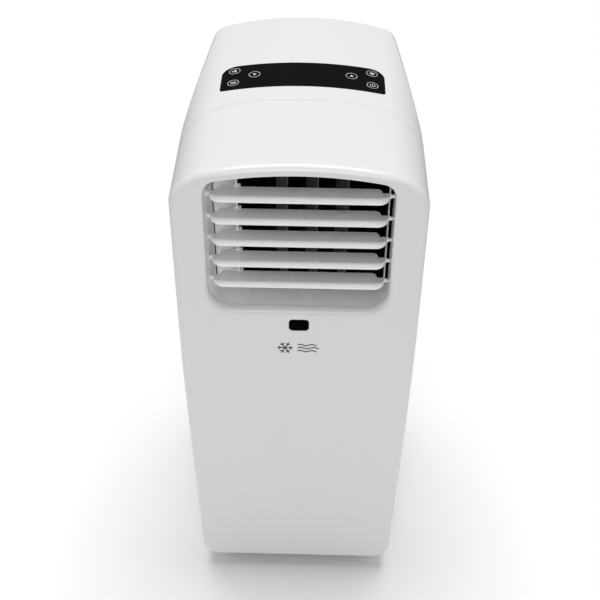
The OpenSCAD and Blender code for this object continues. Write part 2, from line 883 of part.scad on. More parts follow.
// The two wheels of a caster and the axle that joins them.
module wheels(x, y) {
    inner = web + 0.5;
    outer = 13;
    color([0.12, 0.12, 0.13]) translate([x, y + trail, wheel_r]) rotate([0, 90, 0]) {
        for (s = [0, 1]) mirror([0, 0, s]) rotate_extrude() polygon([[0, inner], [wheel_r - 1, inner],
            [wheel_r, inner + 1.5], [wheel_r, outer - 2.5], [wheel_r - 2, outer], [0, outer]]);
        translate([0, 0, -inner - 1]) cylinder(r = 3, h = 2 * inner + 2);
    }
}

front_housing();
rear_housing();
base_pan();
partition_deck();
support_posts();
control_overlay();
control_board();
ir_window();
front_emblem();
louver_frame();
swing_motor();
evaporator_coil();
blower_scroll();
blower_motor();
blower_wheel();
condenser_coil();
condenser_scroll();
condenser_fan_motor();
condenser_fan_wheel();
exhaust_duct();
exhaust_collar();
compressor();
compressor_grommets();
refrigerant_pipes();
electrical_box();
handle_cups();
cord_gland();
housing_screws();
slat(1);  // slat_1
slat(2);  // slat_2
slat(3);  // slat_3
slat(4);  // slat_4
slat(5);  // slat_5
louver_link();
vane(0);  // vane_1
vane(1);  // vane_2
vane(2);  // vane_3
vane_link();
key(0);  // key_fan
key(1);  // key_down
key(2);  // key_swing
key(3);  // key_mode
key(4);  // key_up
key(5);  // key_power
grille(upper_z);  // upper_grille
upper_filter();
grille(lower_z);  // lower_grille
lower_filter();
drain_cap(drain_upper, 174);  // drain_cap_upper
drain_cap(drain_lower, 178.4);  // drain_cap_lower
caster(-caster_x, -caster_y);  // caster_front_left
caster(caster_x, -caster_y);  // caster_front_right
caster(-caster_x, caster_y);  // caster_rear_left
caster(caster_x, caster_y);  // caster_rear_right
wheels(-caster_x, -caster_y);  // wheels_front_left
wheels(caster_x, -caster_y);  // wheels_front_right
wheels(-caster_x, caster_y);  // wheels_rear_left
wheels(caster_x, caster_y);  // wheels_rear_right
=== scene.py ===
# %% [markdown]
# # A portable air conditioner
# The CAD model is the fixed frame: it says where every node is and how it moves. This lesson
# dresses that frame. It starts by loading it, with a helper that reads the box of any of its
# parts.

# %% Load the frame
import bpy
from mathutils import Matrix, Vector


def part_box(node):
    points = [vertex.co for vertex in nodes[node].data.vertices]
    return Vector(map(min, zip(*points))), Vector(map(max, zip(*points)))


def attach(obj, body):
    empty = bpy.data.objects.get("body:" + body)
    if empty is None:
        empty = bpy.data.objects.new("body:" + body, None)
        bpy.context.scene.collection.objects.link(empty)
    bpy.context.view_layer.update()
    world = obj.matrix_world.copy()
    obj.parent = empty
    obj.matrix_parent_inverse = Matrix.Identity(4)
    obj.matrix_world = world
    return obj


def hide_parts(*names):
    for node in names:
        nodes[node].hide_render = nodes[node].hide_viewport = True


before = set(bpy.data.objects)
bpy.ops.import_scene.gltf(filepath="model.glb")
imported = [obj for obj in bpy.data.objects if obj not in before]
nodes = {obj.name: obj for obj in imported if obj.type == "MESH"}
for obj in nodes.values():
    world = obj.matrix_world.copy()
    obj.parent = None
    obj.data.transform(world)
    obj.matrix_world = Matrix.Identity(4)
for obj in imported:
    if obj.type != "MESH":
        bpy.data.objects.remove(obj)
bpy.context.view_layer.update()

# %% Tools of the trade
import math

import bmesh
import bpy
from mathutils import Matrix, Vector

MM = 0.001
scene = bpy.context.scene

# %% [markdown]
# ## Camera
# A product shot of a tall appliance is taken from above eye level with a longish lens, so
# that the top and its controls show as well as the front. The camera is a plain one, with its
# direction given by three angles: how far it looks down, how far it turns, and how far it
# leans.

# %% Camera
CAMERA_PLACE = Vector((18.436, -1205.728, 1408.606)) * MM
LOOK_DOWN, TURN, LEAN = math.radians(40.487), math.radians(-0.903), math.radians(0.581)
forward = Vector((math.sin(TURN) * math.cos(LOOK_DOWN), math.cos(TURN) * math.cos(LOOK_DOWN),
                  -math.sin(LOOK_DOWN)))
level = Vector((math.cos(TURN), -math.sin(TURN), 0))
upright = level.cross(forward)
right = level * math.cos(LEAN) + upright * math.sin(LEAN)
up = upright * math.cos(LEAN) - level * math.sin(LEAN)
camera_data = bpy.data.cameras.new("camera")
camera_data.lens = 66
camera_data.sensor_width = 36
camera_data.clip_start = 0.05
camera = bpy.data.objects.new("camera", camera_data)
scene.collection.objects.link(camera)
camera.matrix_world = Matrix((
    (right.x, up.x, -forward.x, CAMERA_PLACE.x),
    (right.y, up.y, -forward.y, CAMERA_PLACE.y),
    (right.z, up.z, -forward.z, CAMERA_PLACE.z),
    (0, 0, 0, 1)))
scene.camera = camera
print("camera stands", round(-CAMERA_PLACE.y, 2), "m in front and", round(CAMERA_PLACE.z, 2), "m up")

# %% [markdown]
# ## Finishes
# Every finish starts from the same recipe: a base colour that drifts a little from place to
# place, a roughness that does the same, and a bump made of fine noise, because no moulding is
# perfectly even. Numbers that are the same all over the surface are set on the shader itself.

# %% A finish recipe
def finish(name, colour, drift=0.04, rough=(0.3, 0.4), grain=900, bump=0.05, metallic=0.0,
           blotch=14, coat=0.0, specular=0.5):
    """A moulded or metal finish. Grain is in ridges per metre, bump from 0 to 1."""
    made = bpy.data.materials.new(name)
    made.use_nodes = True
    tree = made.node_tree
    shader = tree.nodes["Principled BSDF"]
    shader.inputs["Metallic"].default_value = metallic
    shader.inputs["Coat Weight"].default_value = coat
    shader.inputs["Specular IOR Level"].default_value = specular
    place = tree.nodes.new("ShaderNodeTexCoord")
    patches = tree.nodes.new("ShaderNodeTexNoise")
    patches.inputs["Scale"].default_value = blotch
    patches.inputs["Detail"].default_value = 3
    tree.links.new(place.outputs["Object"], patches.inputs["Vector"])
    tint = tree.nodes.new("ShaderNodeMix")
    tint.data_type = "RGBA"
    tint.inputs["A"].default_value = (*colour, 1)
    tint.inputs["B"].default_value = (*[c * (1 - drift) for c in colour], 1)
    tree.links.new(patches.outputs["Fac"], tint.inputs["Factor"])
    tree.links.new(tint.outputs["Result"], shader.inputs["Base Color"])
    fine = tree.nodes.new("ShaderNodeTexNoise")
    fine.inputs["Scale"].default_value = grain
    fine.inputs["Detail"].default_value = 2
    tree.links.new(place.outputs["Object"], fine.inputs["Vector"])
    sheen = tree.nodes.new("ShaderNodeMapRange")
    sheen.inputs["To Min"].default_value = rough[0]
    sheen.inputs["To Max"].default_value = rough[1]
    tree.links.new(patches.outputs["Fac"], sheen.inputs["Value"])
    tree.links.new(sheen.outputs["Result"], shader.inputs["Roughness"])
    relief = tree.nodes.new("ShaderNodeBump")
    relief.inputs["Strength"].default_value = bump
    relief.inputs["Distance"].default_value = 0.0003
    tree.links.new(fine.outputs["Fac"], relief.inputs["Height"])
    tree.links.new(relief.outputs["Normal"], shader.inputs["Normal"])
    return made


# %% [markdown]
# The cabinet is white ABS with a satin spark finish. The slats and the outlet frame are the
# same plastic, a touch smoother, and lighter in colour as painted light for the shade deep in
# the outlet. The control strip is a black film with a fine sand texture, and the infrared window is
# polished.

# %% Plastics
white = finish("satin_white_abs", (0.80, 0.79, 0.78), 0.015, (0.22, 0.28), 1400, 0.04)
# painted light: the outlet's white is lighter than the cabinet's to make up for the shade deep in the
# outlet
outlet_white = finish("outlet_white_abs_painted_light", (0.92, 0.925, 0.92), 0.015, (0.24, 0.30), 1400, 0.03)
# painted shade: the vanes are darkened to stand in for the shade deep in the duct
vane_painted_shade = finish("vane_abs_painted_shade", (0.07, 0.07, 0.07), 0.06, (0.4, 0.5), 1200, 0.08)
# painted shade: the duct is black to stand in for the unlit inside of the cabinet
duct_painted_shade = finish("duct_black_painted_shade", (0.006, 0.006, 0.007), 0.3, (0.6, 0.75), 700, 0.2, specular=0.1)
strip_black = finish("sanded_black_film", (0.004, 0.004, 0.0045), 0.25, (0.5, 0.65), 1700, 0.9,
                     specular=0.04)
print_white = finish("white_print", (0.80, 0.80, 0.79), 0.05, (0.5, 0.6), 2500, 0.1)
window_black = finish("polished_black", (0.002, 0.002, 0.0025), 0.3, (0.05, 0.09), 500, 0.01,
                      specular=0.01)
emblem_grey = finish("dark_grey_print", (0.035, 0.037, 0.04), 0.15, (0.35, 0.5), 2200, 0.1)
pan_grey = finish("grey_polypropylene", (0.30, 0.31, 0.32), 0.1, (0.45, 0.6), 900, 0.25)
caster_grey = finish("caster_nylon", (0.05, 0.05, 0.055), 0.2, (0.4, 0.55), 1300, 0.25)
wheel_black = finish("wheel_nylon", (0.02, 0.02, 0.022), 0.3, (0.35, 0.6), 900, 0.35)
rubber = finish("black_rubber", (0.018, 0.018, 0.018), 0.25, (0.6, 0.8), 1500, 0.4, specular=0.3)
board_green = finish("solder_mask", (0.02, 0.12, 0.05), 0.25, (0.3, 0.45), 700, 0.2)
filter_grey = finish("filter_mesh", (0.10, 0.11, 0.12), 0.2, (0.6, 0.8), 1600, 0.9)
steel = finish("zinc_plated_sheet", (0.55, 0.56, 0.58), 0.2, (0.3, 0.5), 260, 0.1, metallic=1.0,
               blotch=60)
enamel = finish("black_enamel", (0.012, 0.012, 0.013), 0.2, (0.25, 0.4), 500, 0.15, coat=0.4)
copper = finish("drawn_copper", (0.72, 0.34, 0.19), 0.2, (0.25, 0.45), 300, 0.08, metallic=1.0)
print("finishes:", len([m for m in bpy.data.materials if m.use_nodes]))

# %% [markdown]
# The coils are packs of thin aluminium fins. The fins are far too many to model, so a fine
# wave across the width makes them in bump, and paints dark stripes of shade for the gaps between them in
# colour.

# %% Finned aluminium
fins = finish("finned_aluminium", (0.62, 0.63, 0.65), 0.15, (0.3, 0.45), 400, 0.1, metallic=1.0)
fin_tree = fins.node_tree
stripe = fin_tree.nodes.new("ShaderNodeTexWave")
stripe.inputs["Scale"].default_value = 180
fin_place = next(n for n in fin_tree.nodes if n.type == "TEX_COORD")
fin_relief = next(n for n in fin_tree.nodes if n.type == "BUMP")
fin_gap_shade = next(n for n in fin_tree.nodes if n.type == "MIX")
fin_relief.inputs["Strength"].default_value = 0.8
# painted shade: the dark stripes stand for the shade in the gaps between the fins
fin_gap_shade.inputs["B"].default_value = (0.08, 0.08, 0.09, 1)
fin_tree.links.new(fin_place.outputs["Object"], stripe.inputs["Vector"])
fin_tree.links.new(stripe.outputs["Fac"], fin_relief.inputs["Height"])
fin_tree.links.new(stripe.outputs["Fac"], fin_gap_shade.inputs["Factor"])

# %% [markdown]
# ## Shaping tools
# All shapes below are worked out in millimetres. One helper turns a list of points and faces
# into a piece: it welds doubled points, turns the faces outwards, marks edges sharp where two
# faces meet at a steep angle, tells the frame which body the piece moves with, and hides the
# CAD node it stands for.

# %% Make a piece
def face_out(bm):
    """Turn all faces to look away from the middle of the piece."""
    bmesh.ops.recalc_face_normals(bm, faces=bm.faces)
    area = sum(f.calc_area() for f in bm.faces)
    middle = sum((f.calc_center_median() * f.calc_area() for f in bm.faces), Vector()) / area
    out = sum(f.normal.dot(f.calc_center_median() - middle) * f.calc_area() for f in bm.faces)
    if out < 0:
        bmesh.ops.reverse_faces(bm, faces=bm.faces)


def mark_sharp(bm, angle):
    """Smooth shading, with a crease wherever two faces meet at more than that many degrees."""
    for f in bm.faces:
        f.smooth = True
    for e in bm.edges:
        steep = len(e.link_faces) != 2 or e.calc_face_angle(0) > math.radians(angle)
        e.smooth = not steep


def to_object(bm, name, materials, sharp=35):
    mark_sharp(bm, sharp)
    mesh = bpy.data.meshes.new(name)
    bm.to_mesh(mesh)
    bm.free()
    made = bpy.data.objects.new(name, mesh)
    scene.collection.objects.link(made)
    for m in materials:
        mesh.materials.append(m)
    return made


def build(points, faces, weld=0.01):
    """A bmesh in metres from points in millimetres."""
    bm = bmesh.new()
    made = [bm.verts.new([c * MM for c in p]) for p in points]
    for f in faces:
        corners = [made[i] for i in f]
        if len(set(f)) > 2:
            bm.faces.new(corners)
    bmesh.ops.remove_doubles(bm, verts=bm.verts, dist=weld * MM)
    return bm


def place(piece, body, node, slot):
    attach(piece, body)
    if node:
        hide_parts(node)
    return piece


# %% [markdown]
# A loft is the workhorse here: rings of points, each joined to the next by a band of quads.
# Modifiers do the rest, and are applied at once, so that the mesh holds what is seen.

# %% Lofts and modifiers
def loft(rings, closed=True, caps=(False, False)):
    """Points and faces of rings with equal counts."""
    n = len(rings[0])
    points = [p for ring in rings for p in ring]
    last = n if closed else n - 1
    faces = [[r * n + i, r * n + (i + 1) % n, (r + 1) * n + (i + 1) % n, (r + 1) * n + i]
             for r in range(len(rings) - 1) for i in range(last)]
    if caps[0]:
        faces.append(list(range(n))[::-1])
    if caps[1]:
        faces.append([(len(rings) - 1) * n + i for i in range(n)])
    return points, faces


def apply(piece, kind, **settings):
    """Add a modifier and make its result the mesh."""
    modifier = piece.modifiers.new(kind.lower(), kind)
    for key, value in settings.items():
        setattr(modifier, key, value)
    bpy.context.view_layer.update()
    seen = piece.evaluated_get(bpy.context.evaluated_depsgraph_get())
    mesh = bpy.data.meshes.new_from_object(seen)
    piece.modifiers.clear()
    old = piece.data
    piece.data = mesh
    bpy.data.meshes.remove(old)
    return piece


def shade(piece, sharp=35):
    """Creases by angle, and normals that favour the large faces, as on a real moulding."""
    bm = bmesh.new()
    bm.from_mesh(piece.data)
    mark_sharp(bm, sharp)
    bm.to_mesh(piece.data)
    bm.free()
    apply(piece, "WEIGHTED_NORMAL", keep_sharp=True, weight=50)
    return piece


# %% [markdown]
# ## The form of the cabinet
# Seen from the front the cabinet has an arched top, wide rounded shoulders and sides that draw
# in below the middle. Seen from above its sides lean in towards a softly curved back. These
# few functions hold that form, and both shells are cut from it, so they meet without a step.
# The arch lies a little under the CAD one, which leaves the control strip standing proud.

# %% Sizes of the cabinet
HALF = 150.0
CROWN_DROP = 0.4
CROWN_R, CROWN_Z = 520.0, 210.0
SHOULDER_IN, SHOULDER_DOWN = 44.0, 34.0
FOOT_Z, FOOT_R = 22.0, 25.0
TAPER_TOP, TAPER_IN = 440.0, 11.0
FRONT_Y, FRONT_R = -184.8, 10.0
OPEN_X, OPEN_Y = 108.0, 170.0


def crown(x, drop=CROWN_DROP):
    """Height of the arched top."""
    return CROWN_Z + math.sqrt((CROWN_R - drop) ** 2 - x * x)


def top_at(x):
    """Height of the top: the arch, then the shoulder."""
    share = min(1.0, max(0.0, abs(x) - HALF + SHOULDER_IN) / SHOULDER_IN)
    return crown(x) - SHOULDER_DOWN * (1 - math.sqrt(1 - share * share))


def half_at(z):
    """Half width of the cabinet at a height."""
    low = max(0.0, TAPER_TOP - z) / (TAPER_TOP - FOOT_Z)
    return HALF - TAPER_IN * low ** 1.3


def foot_x(z):
    """Half width with the rounded foot."""
    down = max(0.0, FOOT_Z + FOOT_R - z)
    return half_at(max(z, FOOT_Z + FOOT_R)) - FOOT_R + math.sqrt(FOOT_R ** 2 - down * down)


def seam(x):
    """Depth of the joint line between the two shells."""
    return -36.5 - 25 * min(1.0, abs(x) / 137) ** 4


def steps(a, b, n):
    """n + 1 numbers from a to b."""
    return [a + (b - a) * i / n for i in range(n + 1)]


def turn(centre, r, a, b, n):
    """Points on an arc, from angle a to b in degrees."""
    angles = [math.radians(t) for t in steps(a, b, n)]
    return [(centre[0] + r * math.cos(t), centre[1] + r * math.sin(t)) for t in angles]


# %% [markdown]
# The front outline runs clockwise from the middle of the arch. Rings that are drawn in by a
# few millimetres follow its normals, which are taken from the neighbouring points.

# %% Front outline
def shoulder(n):
    """Points over the right shoulder, from the arch to the side."""
    found = []
    for a in steps(90, 0, n):
        x = HALF - SHOULDER_IN * (1 - math.cos(math.radians(a)))
        found.append((x, crown(x) - SHOULDER_DOWN * (1 - math.sin(math.radians(a)))))
    return found


def front_outline():
    half = [(x, crown(x)) for x in steps(0, HALF - SHOULDER_IN, 16)]
    half += shoulder(16)[1:]
    foot_z = FOOT_Z + FOOT_R
    half += [(half_at(z), z) for z in steps(half[-1][1], foot_z, 18)[1:]]
    half += turn((half_at(foot_z) - FOOT_R, foot_z), FOOT_R, 0, -90, 8)[1:]
    half += [(x, FOOT_Z) for x in (OPEN_X, 72.0, 36.0, 0.0)]
    return half + [(-x, z) for x, z in half[-2:0:-1]]


def normals(loop):
    """Outward normals of a clockwise loop."""
    found = []
    for i in range(len(loop)):
        before, after = loop[i - 1], loop[(i + 1) % len(loop)]
        along = Vector((after[0] - before[0], after[1] - before[1])).normalized()
        found.append((-along.y, along.x))
    return found


outline = front_outline()
outline_normals = normals(outline)
print("front outline:", len(outline), "points")


# %% [markdown]
# ## Outlet
# The mouth of the outlet follows the arch above and has wide corners below. Its edge is rolled
# inwards: a big soft roll along the bottom, where the air leaves, and a tight one along the
# top. Giving each point of the loop its own roll radius makes that in one go.

# %% Outlet loop
OUTLET_HALF, OUTLET_Z = 110.0, 519.4
MOUTH_R, MOUTH_TOP_CORNER, MOUTH_FOOT = CROWN_R - 13.5, 18.0, 30.0
LOW_ROLL, TOP_ROLL, ROLL_TOP_Z = 9.6, 2.5, 680.0


def outlet_outline(n=10):
    cx = OUTLET_HALF - MOUTH_TOP_CORNER
    cz = CROWN_Z + math.sqrt((MOUTH_R - MOUTH_TOP_CORNER) ** 2 - cx * cx)
    a = math.degrees(math.atan2(cz - CROWN_Z, cx))
    half = turn((0, CROWN_Z), MOUTH_R, 90, a, 16)
    half += turn((cx, cz), MOUTH_TOP_CORNER, a, 0, n)[1:]
    side_end = OUTLET_Z + MOUTH_FOOT
    half += [(OUTLET_HALF, z) for z in steps(cz, side_end, 10)[1:]]
    half += turn((OUTLET_HALF - MOUTH_FOOT, side_end), MOUTH_FOOT, 0, -90, n)[1:]
    half += [(x, OUTLET_Z) for x in (60.0, 40.0, 20.0, 0.0)]
    return half + [(-x, z) for x, z in half[-2:0:-1]]


mouth = outlet_outline()
mouth_normals = normals(mouth)


def roll_radius(z):
    """Radius of the rolled edge: large at the bottom, small at the top."""
    share = min(1.0, max(0.0, (z - OUTLET_Z) / (ROLL_TOP_Z - OUTLET_Z)))
    soft = share * share * (3 - 2 * share)
    return LOW_ROLL - (LOW_ROLL - TOP_ROLL) * soft ** 0.6


def mouth_ring(out, y):
    """The mouth grown by out(z) at depth y(z)."""
    return [(x + nx * out(z), y(z), z + nz * out(z))
            for (x, z), (nx, nz) in zip(mouth, mouth_normals)]


print("mouth:", len(mouth), "points, rolls from", roll_radius(OUTLET_Z), "to", roll_radius(700))


# %% [markdown]
# ## Front housing
# A single moulding: the flat front, its rounded edge, and the front part of the top and the
# sides, as far back as the joint line. It is lofted from rings of the front outline. The flat
# front is filled between the outermost ring and the holes for the mouth and the window, and
# the whole skin is then given its wall thickness.

# %% Skin of the front housing
WINDOW_X, WINDOW_Z, WINDOW_R = 1.25, 495.4, 5.0


def window_loop(grow):
    w, h, r = 12.25 + grow, 8.9 + grow, WINDOW_R
    found = []
    for sx, sz, a in ((1, 1, 90), (1, -1, 0), (-1, -1, -90), (-1, 1, -180)):
        found += turn((WINDOW_X + sx * (w - r), WINDOW_Z + sz * (h - r)), r, a, a - 90, 6)
    return found


def shell_ring(inset, y):
    return [(x - nx * inset, y(x), z - nz * inset)
            for (x, z), (nx, nz) in zip(outline, outline_normals)]


edge_rings = [shell_ring(FRONT_R * (1 - math.sin(math.radians(a))),
                         lambda x, a=a: FRONT_Y + FRONT_R * (1 - math.cos(math.radians(a))))
              for a in steps(0, 90, 8)]
side_rings = [shell_ring(0, lambda x: -OPEN_Y)]
side_rings += [shell_ring(0, lambda x, t=t: -OPEN_Y + (seam(x) - 0.6 + OPEN_Y) * t)
               for t in steps(0, 1, 9)[1:]]
side_rings.append(shell_ring(0.12, lambda x: seam(x) - 0.25))
side_rings.append(shell_ring(0.45, lambda x: seam(x)))
skin_points, skin_faces = loft(edge_rings + side_rings)

# %% Front face with its holes
front = build(skin_points, skin_faces)
for f in list(front.faces):
    c = f.calc_center_median() / MM
    if c.z < FOOT_Z + 0.5 and abs(c.x) < OPEN_X and c.y > -OPEN_Y:
        front.faces.remove(f)


def add_bands(bm, rings):
    """Lofts more rings into bm and returns the edges of the first ring."""
    made = [[bm.verts.new([c * MM for c in p]) for p in ring] for ring in rings]
    n = len(rings[0])
    for a, b in zip(made, made[1:]):
        for i in range(n):
            bm.faces.new((a[i], a[(i + 1) % n], b[(i + 1) % n], b[i]))
    return [bm.edges.get((made[0][i], made[0][(i + 1) % n])) for i in range(n)]


lip_rings = [mouth_ring(lambda z, a=a: roll_radius(z) * (1 - math.sin(math.radians(a))),
                        lambda z, a=a: FRONT_Y + roll_radius(z) * (1 - math.cos(math.radians(a))))
             for a in steps(0, 90, 8)]
lip_rings.append(mouth_ring(lambda z: 0, lambda z: -174.0))
window_rings = [[(x, FRONT_Y + d, z) for x, z in window_loop(g)]
                for g, d in ((0.7, 0), (0.4, 0.15), (0.25, 0.5), (0.25, 3.0))]
rim = add_bands(front, lip_rings) + add_bands(front, window_rings)
front.edges.ensure_lookup_table()
rim += [e for e in front.edges if e.is_boundary and e not in rim
        and all(abs(v.co.y / MM - FRONT_Y) < 0.01 for v in e.verts)]
bmesh.ops.triangle_fill(front, edges=rim, use_beauty=True, use_dissolve=False)
face_out(front)
front_housing = to_object(front, "front_shell", [white])
apply(front_housing, "SOLIDIFY", thickness=2.4 * MM, offset=-1, use_even_offset=False)
shade(front_housing, 40)
place(front_housing, "cabinet", "front_housing", "cabinet_white")
print("front shell:", len(front_housing.data.polygons), "faces")

# %% [markdown]
# ## Rear housing
# The other shell carries the rest of the top, the sides and the back. It is built station by
# station around its plan: at each station a line of points climbs from the foot, up the wall,
# over the top edge and across the top to the middle. The shoulder runs straight back from the
# front shell, the walls lean in through it, and a small rounding eases the edge they leave.
# One more line of points, a third of a millimetre further in, eases the edge at the joint.

# %% Plan of the rear housing
KINK_Y, BACK_HALF, BACK_Y = -50.0, 121.0, 185.0
REAR_R, BACK_R = 18.0, 835.0
lean = math.atan((HALF - BACK_HALF) / (BACK_Y - KINK_Y))
out = Vector((math.cos(lean), math.sin(lean)))
along = Vector((-math.sin(lean), math.cos(lean)))
start = Vector((HALF, KINK_Y)) - out * REAR_R
q = start - Vector((0, BACK_Y - BACK_R))
t = -q.dot(along) + math.sqrt(q.dot(along) ** 2 - q.dot(q) + (BACK_R - REAR_R) ** 2)
rear_centre = start + along * t
back_angle = math.degrees(math.atan2(rear_centre.y - (BACK_Y - BACK_R), rear_centre.x))
print("rear corner centre, mm:", [round(v, 1) for v in rear_centre])


def stations():
    """(point, normal, top edge radius, foot edge radius) from the joint line to the back."""
    deg = math.degrees(lean)
    found = [(Vector((HALF, y)), Vector((1, 0)), 0.3, 0.5) for y in (-61.0, -57.0)]
    half_turn = Vector((math.cos(lean / 2), math.sin(lean / 2)))
    found.append((Vector((HALF, KINK_Y)), half_turn, 0.3, 0.5))
    corner_start = rear_centre + out * REAR_R
    for s in steps(0, 1, 16)[1:]:
        p = Vector((HALF, KINK_Y)).lerp(corner_start, s)
        found.append((p, out.copy(), 0.3 + 6.2 * s, 0.5 + 4.5 * s))
    for s in steps(0, 1, 12)[1:]:
        a = math.radians(deg + (back_angle - deg) * s)
        n = Vector((math.cos(a), math.sin(a)))
        found.append((rear_centre + n * REAR_R, n, 6.5 - s, 5))
    for s in steps(0, 1, 12)[1:]:
        a = math.radians(back_angle + (90 - back_angle) * s)
        n = Vector((math.cos(a), math.sin(a)))
        found.append((Vector((0, BACK_Y - BACK_R)) + n * BACK_R, n, 5.5, 5))
    return found


# %% Climb from foot to crown
def soft_min(a, b, k=5.0):
    """The smaller of two, rounded off where they cross."""
    h = max(k - abs(a - b), 0) / k
    return min(a, b) - h * h * k / 4


def follow_seam(x, y):
    """Bends the lines near the joint to follow it, and leaves the rest straight."""
    reach = 90.0
    share = max(0.0, 1 - (y + 61.5) / reach)
    return y + (seam(x) + 61.5) * share * share


def climb(p, n, edge, foot):
    """The points of one station."""
    def wall(z):
        x = soft_min(p.x, foot_x(z)) if p.x > 100 else p.x
        low = max(0.0, 1 - (z - FOOT_Z) / foot)
        return Vector((x, p.y)) - n * (foot * (1 - math.sqrt(1 - low * low)))

    inner = wall(FOOT_Z) - n * 4
    line = [(inner.x, inner.y, FOOT_Z)]
    wall_top = top_at(p.x) - edge
    heights = [FOOT_Z + FOOT_R * (1 - math.sin(math.radians(a))) for a in steps(90, 0, 9)]
    for z in heights + steps(FOOT_Z + FOOT_R, wall_top, 22)[1:-1]:
        at = wall(z)
        line.append((at.x, at.y, z))
    for a in steps(0, 90, 5):
        at = p - n * (edge * (1 - math.cos(math.radians(a))))
        line.append((at.x, at.y, top_at(at.x) - edge * (1 - math.sin(math.radians(a)))))
    top = p - n * edge
    inner = min(HALF - SHOULDER_IN, 0.85 * top.x)
    across = [inner + (top.x - inner) * math.sin(math.radians(a)) for a in steps(90, 0, 14)[1:]]
    across += steps(inner, 0, 14)[1:]
    line += [(x, top.y, top_at(x)) for x in across]
    return [(x, follow_seam(x, y), z) for x, y, z in line]


lines = [climb(*s) for s in stations()]
EASE_IN, EASE_BACK = 0.3, 0.35
eased = [(x - EASE_IN if x > 140 else x, y, z - EASE_IN if z > 600 else z) for x, y, z in lines[0]]
lines[0] = [(x, y + EASE_BACK, z) for x, y, z in lines[0]]
lines.insert(0, eased)
right_points, right_faces = loft(lines, closed=False)
left_points = [(-x, y, z) for x, y, z in right_points]
count = len(right_points)
left_faces = [[count + i for i in f[::-1]] for f in right_faces]
rear = build(right_points + left_points, right_faces + left_faces, weld=0.03)
bmesh.ops.dissolve_degenerate(rear, dist=0.001 * MM, edges=rear.edges)
face_out(rear)
rear_housing = to_object(rear, "rear_shell", [white])
apply(rear_housing, "SOLIDIFY", thickness=2.2 * MM, offset=-1, use_even_offset=False)
print("rear shell before cutting:", len(rear_housing.data.polygons), "faces")


# %% [markdown]
# The openings of the rear shell are cut with one joined set of cutters: the bed of the control
# strip, the two hand holds, the two grille openings, and round holes for the exhaust collar,
# the drains and the mains gland. Hand holds get generous corners so that they're kind to the
# fingers.

# %% Cutters
def prism(bm, loop, low, high, axis):
    """A solid with that outline from low to high along an axis, in millimetres."""
    def at(p, d):
        return {"x": (d, *p), "y": (p[0], d, p[1]), "z": (*p, d)}[axis]
    bottom = [bm.verts.new([c * MM for c in at(p, low)]) for p in loop]
    top = [bm.verts.new([c * MM for c in at(p, high)]) for p in loop]
    n = len(loop)
    bm.faces.new(bottom)
    bm.faces.new(top[::-1])
    for i in range(n):
        bm.faces.new((bottom[i], top[i], top[(i + 1) % n], bottom[(i + 1) % n]))


def rounded(cx, cy, w, h, r, n=6):
    """A rectangle of half sizes w and h with rounded corners, clockwise."""
    found = []
    for sx, sy, a in ((1, 1, 90), (1, -1, 0), (-1, -1, -90), (-1, 1, -180)):
        found += turn((cx + sx * (w - r), cy + sy * (h - r)), r, a, a - 90, n)
    return found


STRIP_HALF, STRIP_Y0, STRIP_Y1 = 103.0, -5.0, 55.0


def strip_loop(g):
    """Outline of the control strip, drawn in by g: tight front corners, wide back ones."""
    f, b = 4 - g, 20 - g
    half = [(x, STRIP_Y1 - g) for x in steps(0, STRIP_HALF - g - b, 12)]
    half += turn((STRIP_HALF - g - b, STRIP_Y1 - g - b), b, 90, 0, 10)[1:]
    half += [(STRIP_HALF - g, y) for y in steps(STRIP_Y1 - g - b, STRIP_Y0 + g + f, 4)[1:]]
    half += turn((STRIP_HALF - g - f, STRIP_Y0 + g + f), f, 0, -90, 5)[1:]
    half += [(x, STRIP_Y0 + g) for x in steps(STRIP_HALF - g - f, 0, 14)[1:]]
    return half + [(-x, y) for x, y in half[-2:0:-1]]


HOLD_Y, HOLD_Z, HOLD_R = (-46.0, 42.0), (630.0, 668.0), 13
SIDE_CUT, BACK_CUT, SMALL_CUT = (118, 165), (155, 190), (160, 190)
DRAIN_HOLE_R, GLAND_HOLE_R = 9.5, 7.3
cutter = bmesh.new()
prism(cutter, strip_loop(0), 690, 745, "z")
hold = rounded(sum(HOLD_Y) / 2, sum(HOLD_Z) / 2, (HOLD_Y[1] - HOLD_Y[0]) / 2,
               (HOLD_Z[1] - HOLD_Z[0]) / 2, HOLD_R)
prism(cutter, hold, *SIDE_CUT, "x")
prism(cutter, hold, -SIDE_CUT[1], -SIDE_CUT[0], "x")
for name in ("upper_grille", "lower_grille"):
    low, high = (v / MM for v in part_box(name))
    gap = 0.5
    prism(cutter, rounded(0, (low.z + high.z) / 2, high.x + gap, (high.z - low.z) / 2 + gap, 0.6, 2),
          *BACK_CUT, "y")
COLLAR_Z, COLLAR_HOLE_R = 400.0, 68.9
prism(cutter, turn((0, COLLAR_Z), COLLAR_HOLE_R, 0, -360, 72)[:-1], *BACK_CUT, "y")
for name in ("drain_cap_upper", "drain_cap_lower", "cord_gland"):
    low, high = (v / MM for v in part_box(name))
    r = GLAND_HOLE_R if name == "cord_gland" else DRAIN_HOLE_R
    centre = ((low.x + high.x) / 2, (low.z + high.z) / 2)
    prism(cutter, turn(centre, r, 0, -360, 32)[:-1], *SMALL_CUT, "y")
bmesh.ops.recalc_face_normals(cutter, faces=cutter.faces)
cutter_object = to_object(cutter, "cutters", [white])

# %% Cut the rear housing
apply(rear_housing, "BOOLEAN", operation="DIFFERENCE", solver="EXACT", object=cutter_object)
bpy.data.objects.remove(cutter_object)
shade(rear_housing, 40)
place(rear_housing, "cabinet", "rear_housing", "cabinet_white")
print("rear shell:", len(rear_housing.data.polygons), "faces")

# %% [markdown]
# ## Control strip and keys
# The strip is a black film moulding that follows the arch, with a slightly rolled edge and six
# round holes. A flat fill would span the arch in long straight lines, so it is sliced into
# narrow bands first and then laid over the arch.

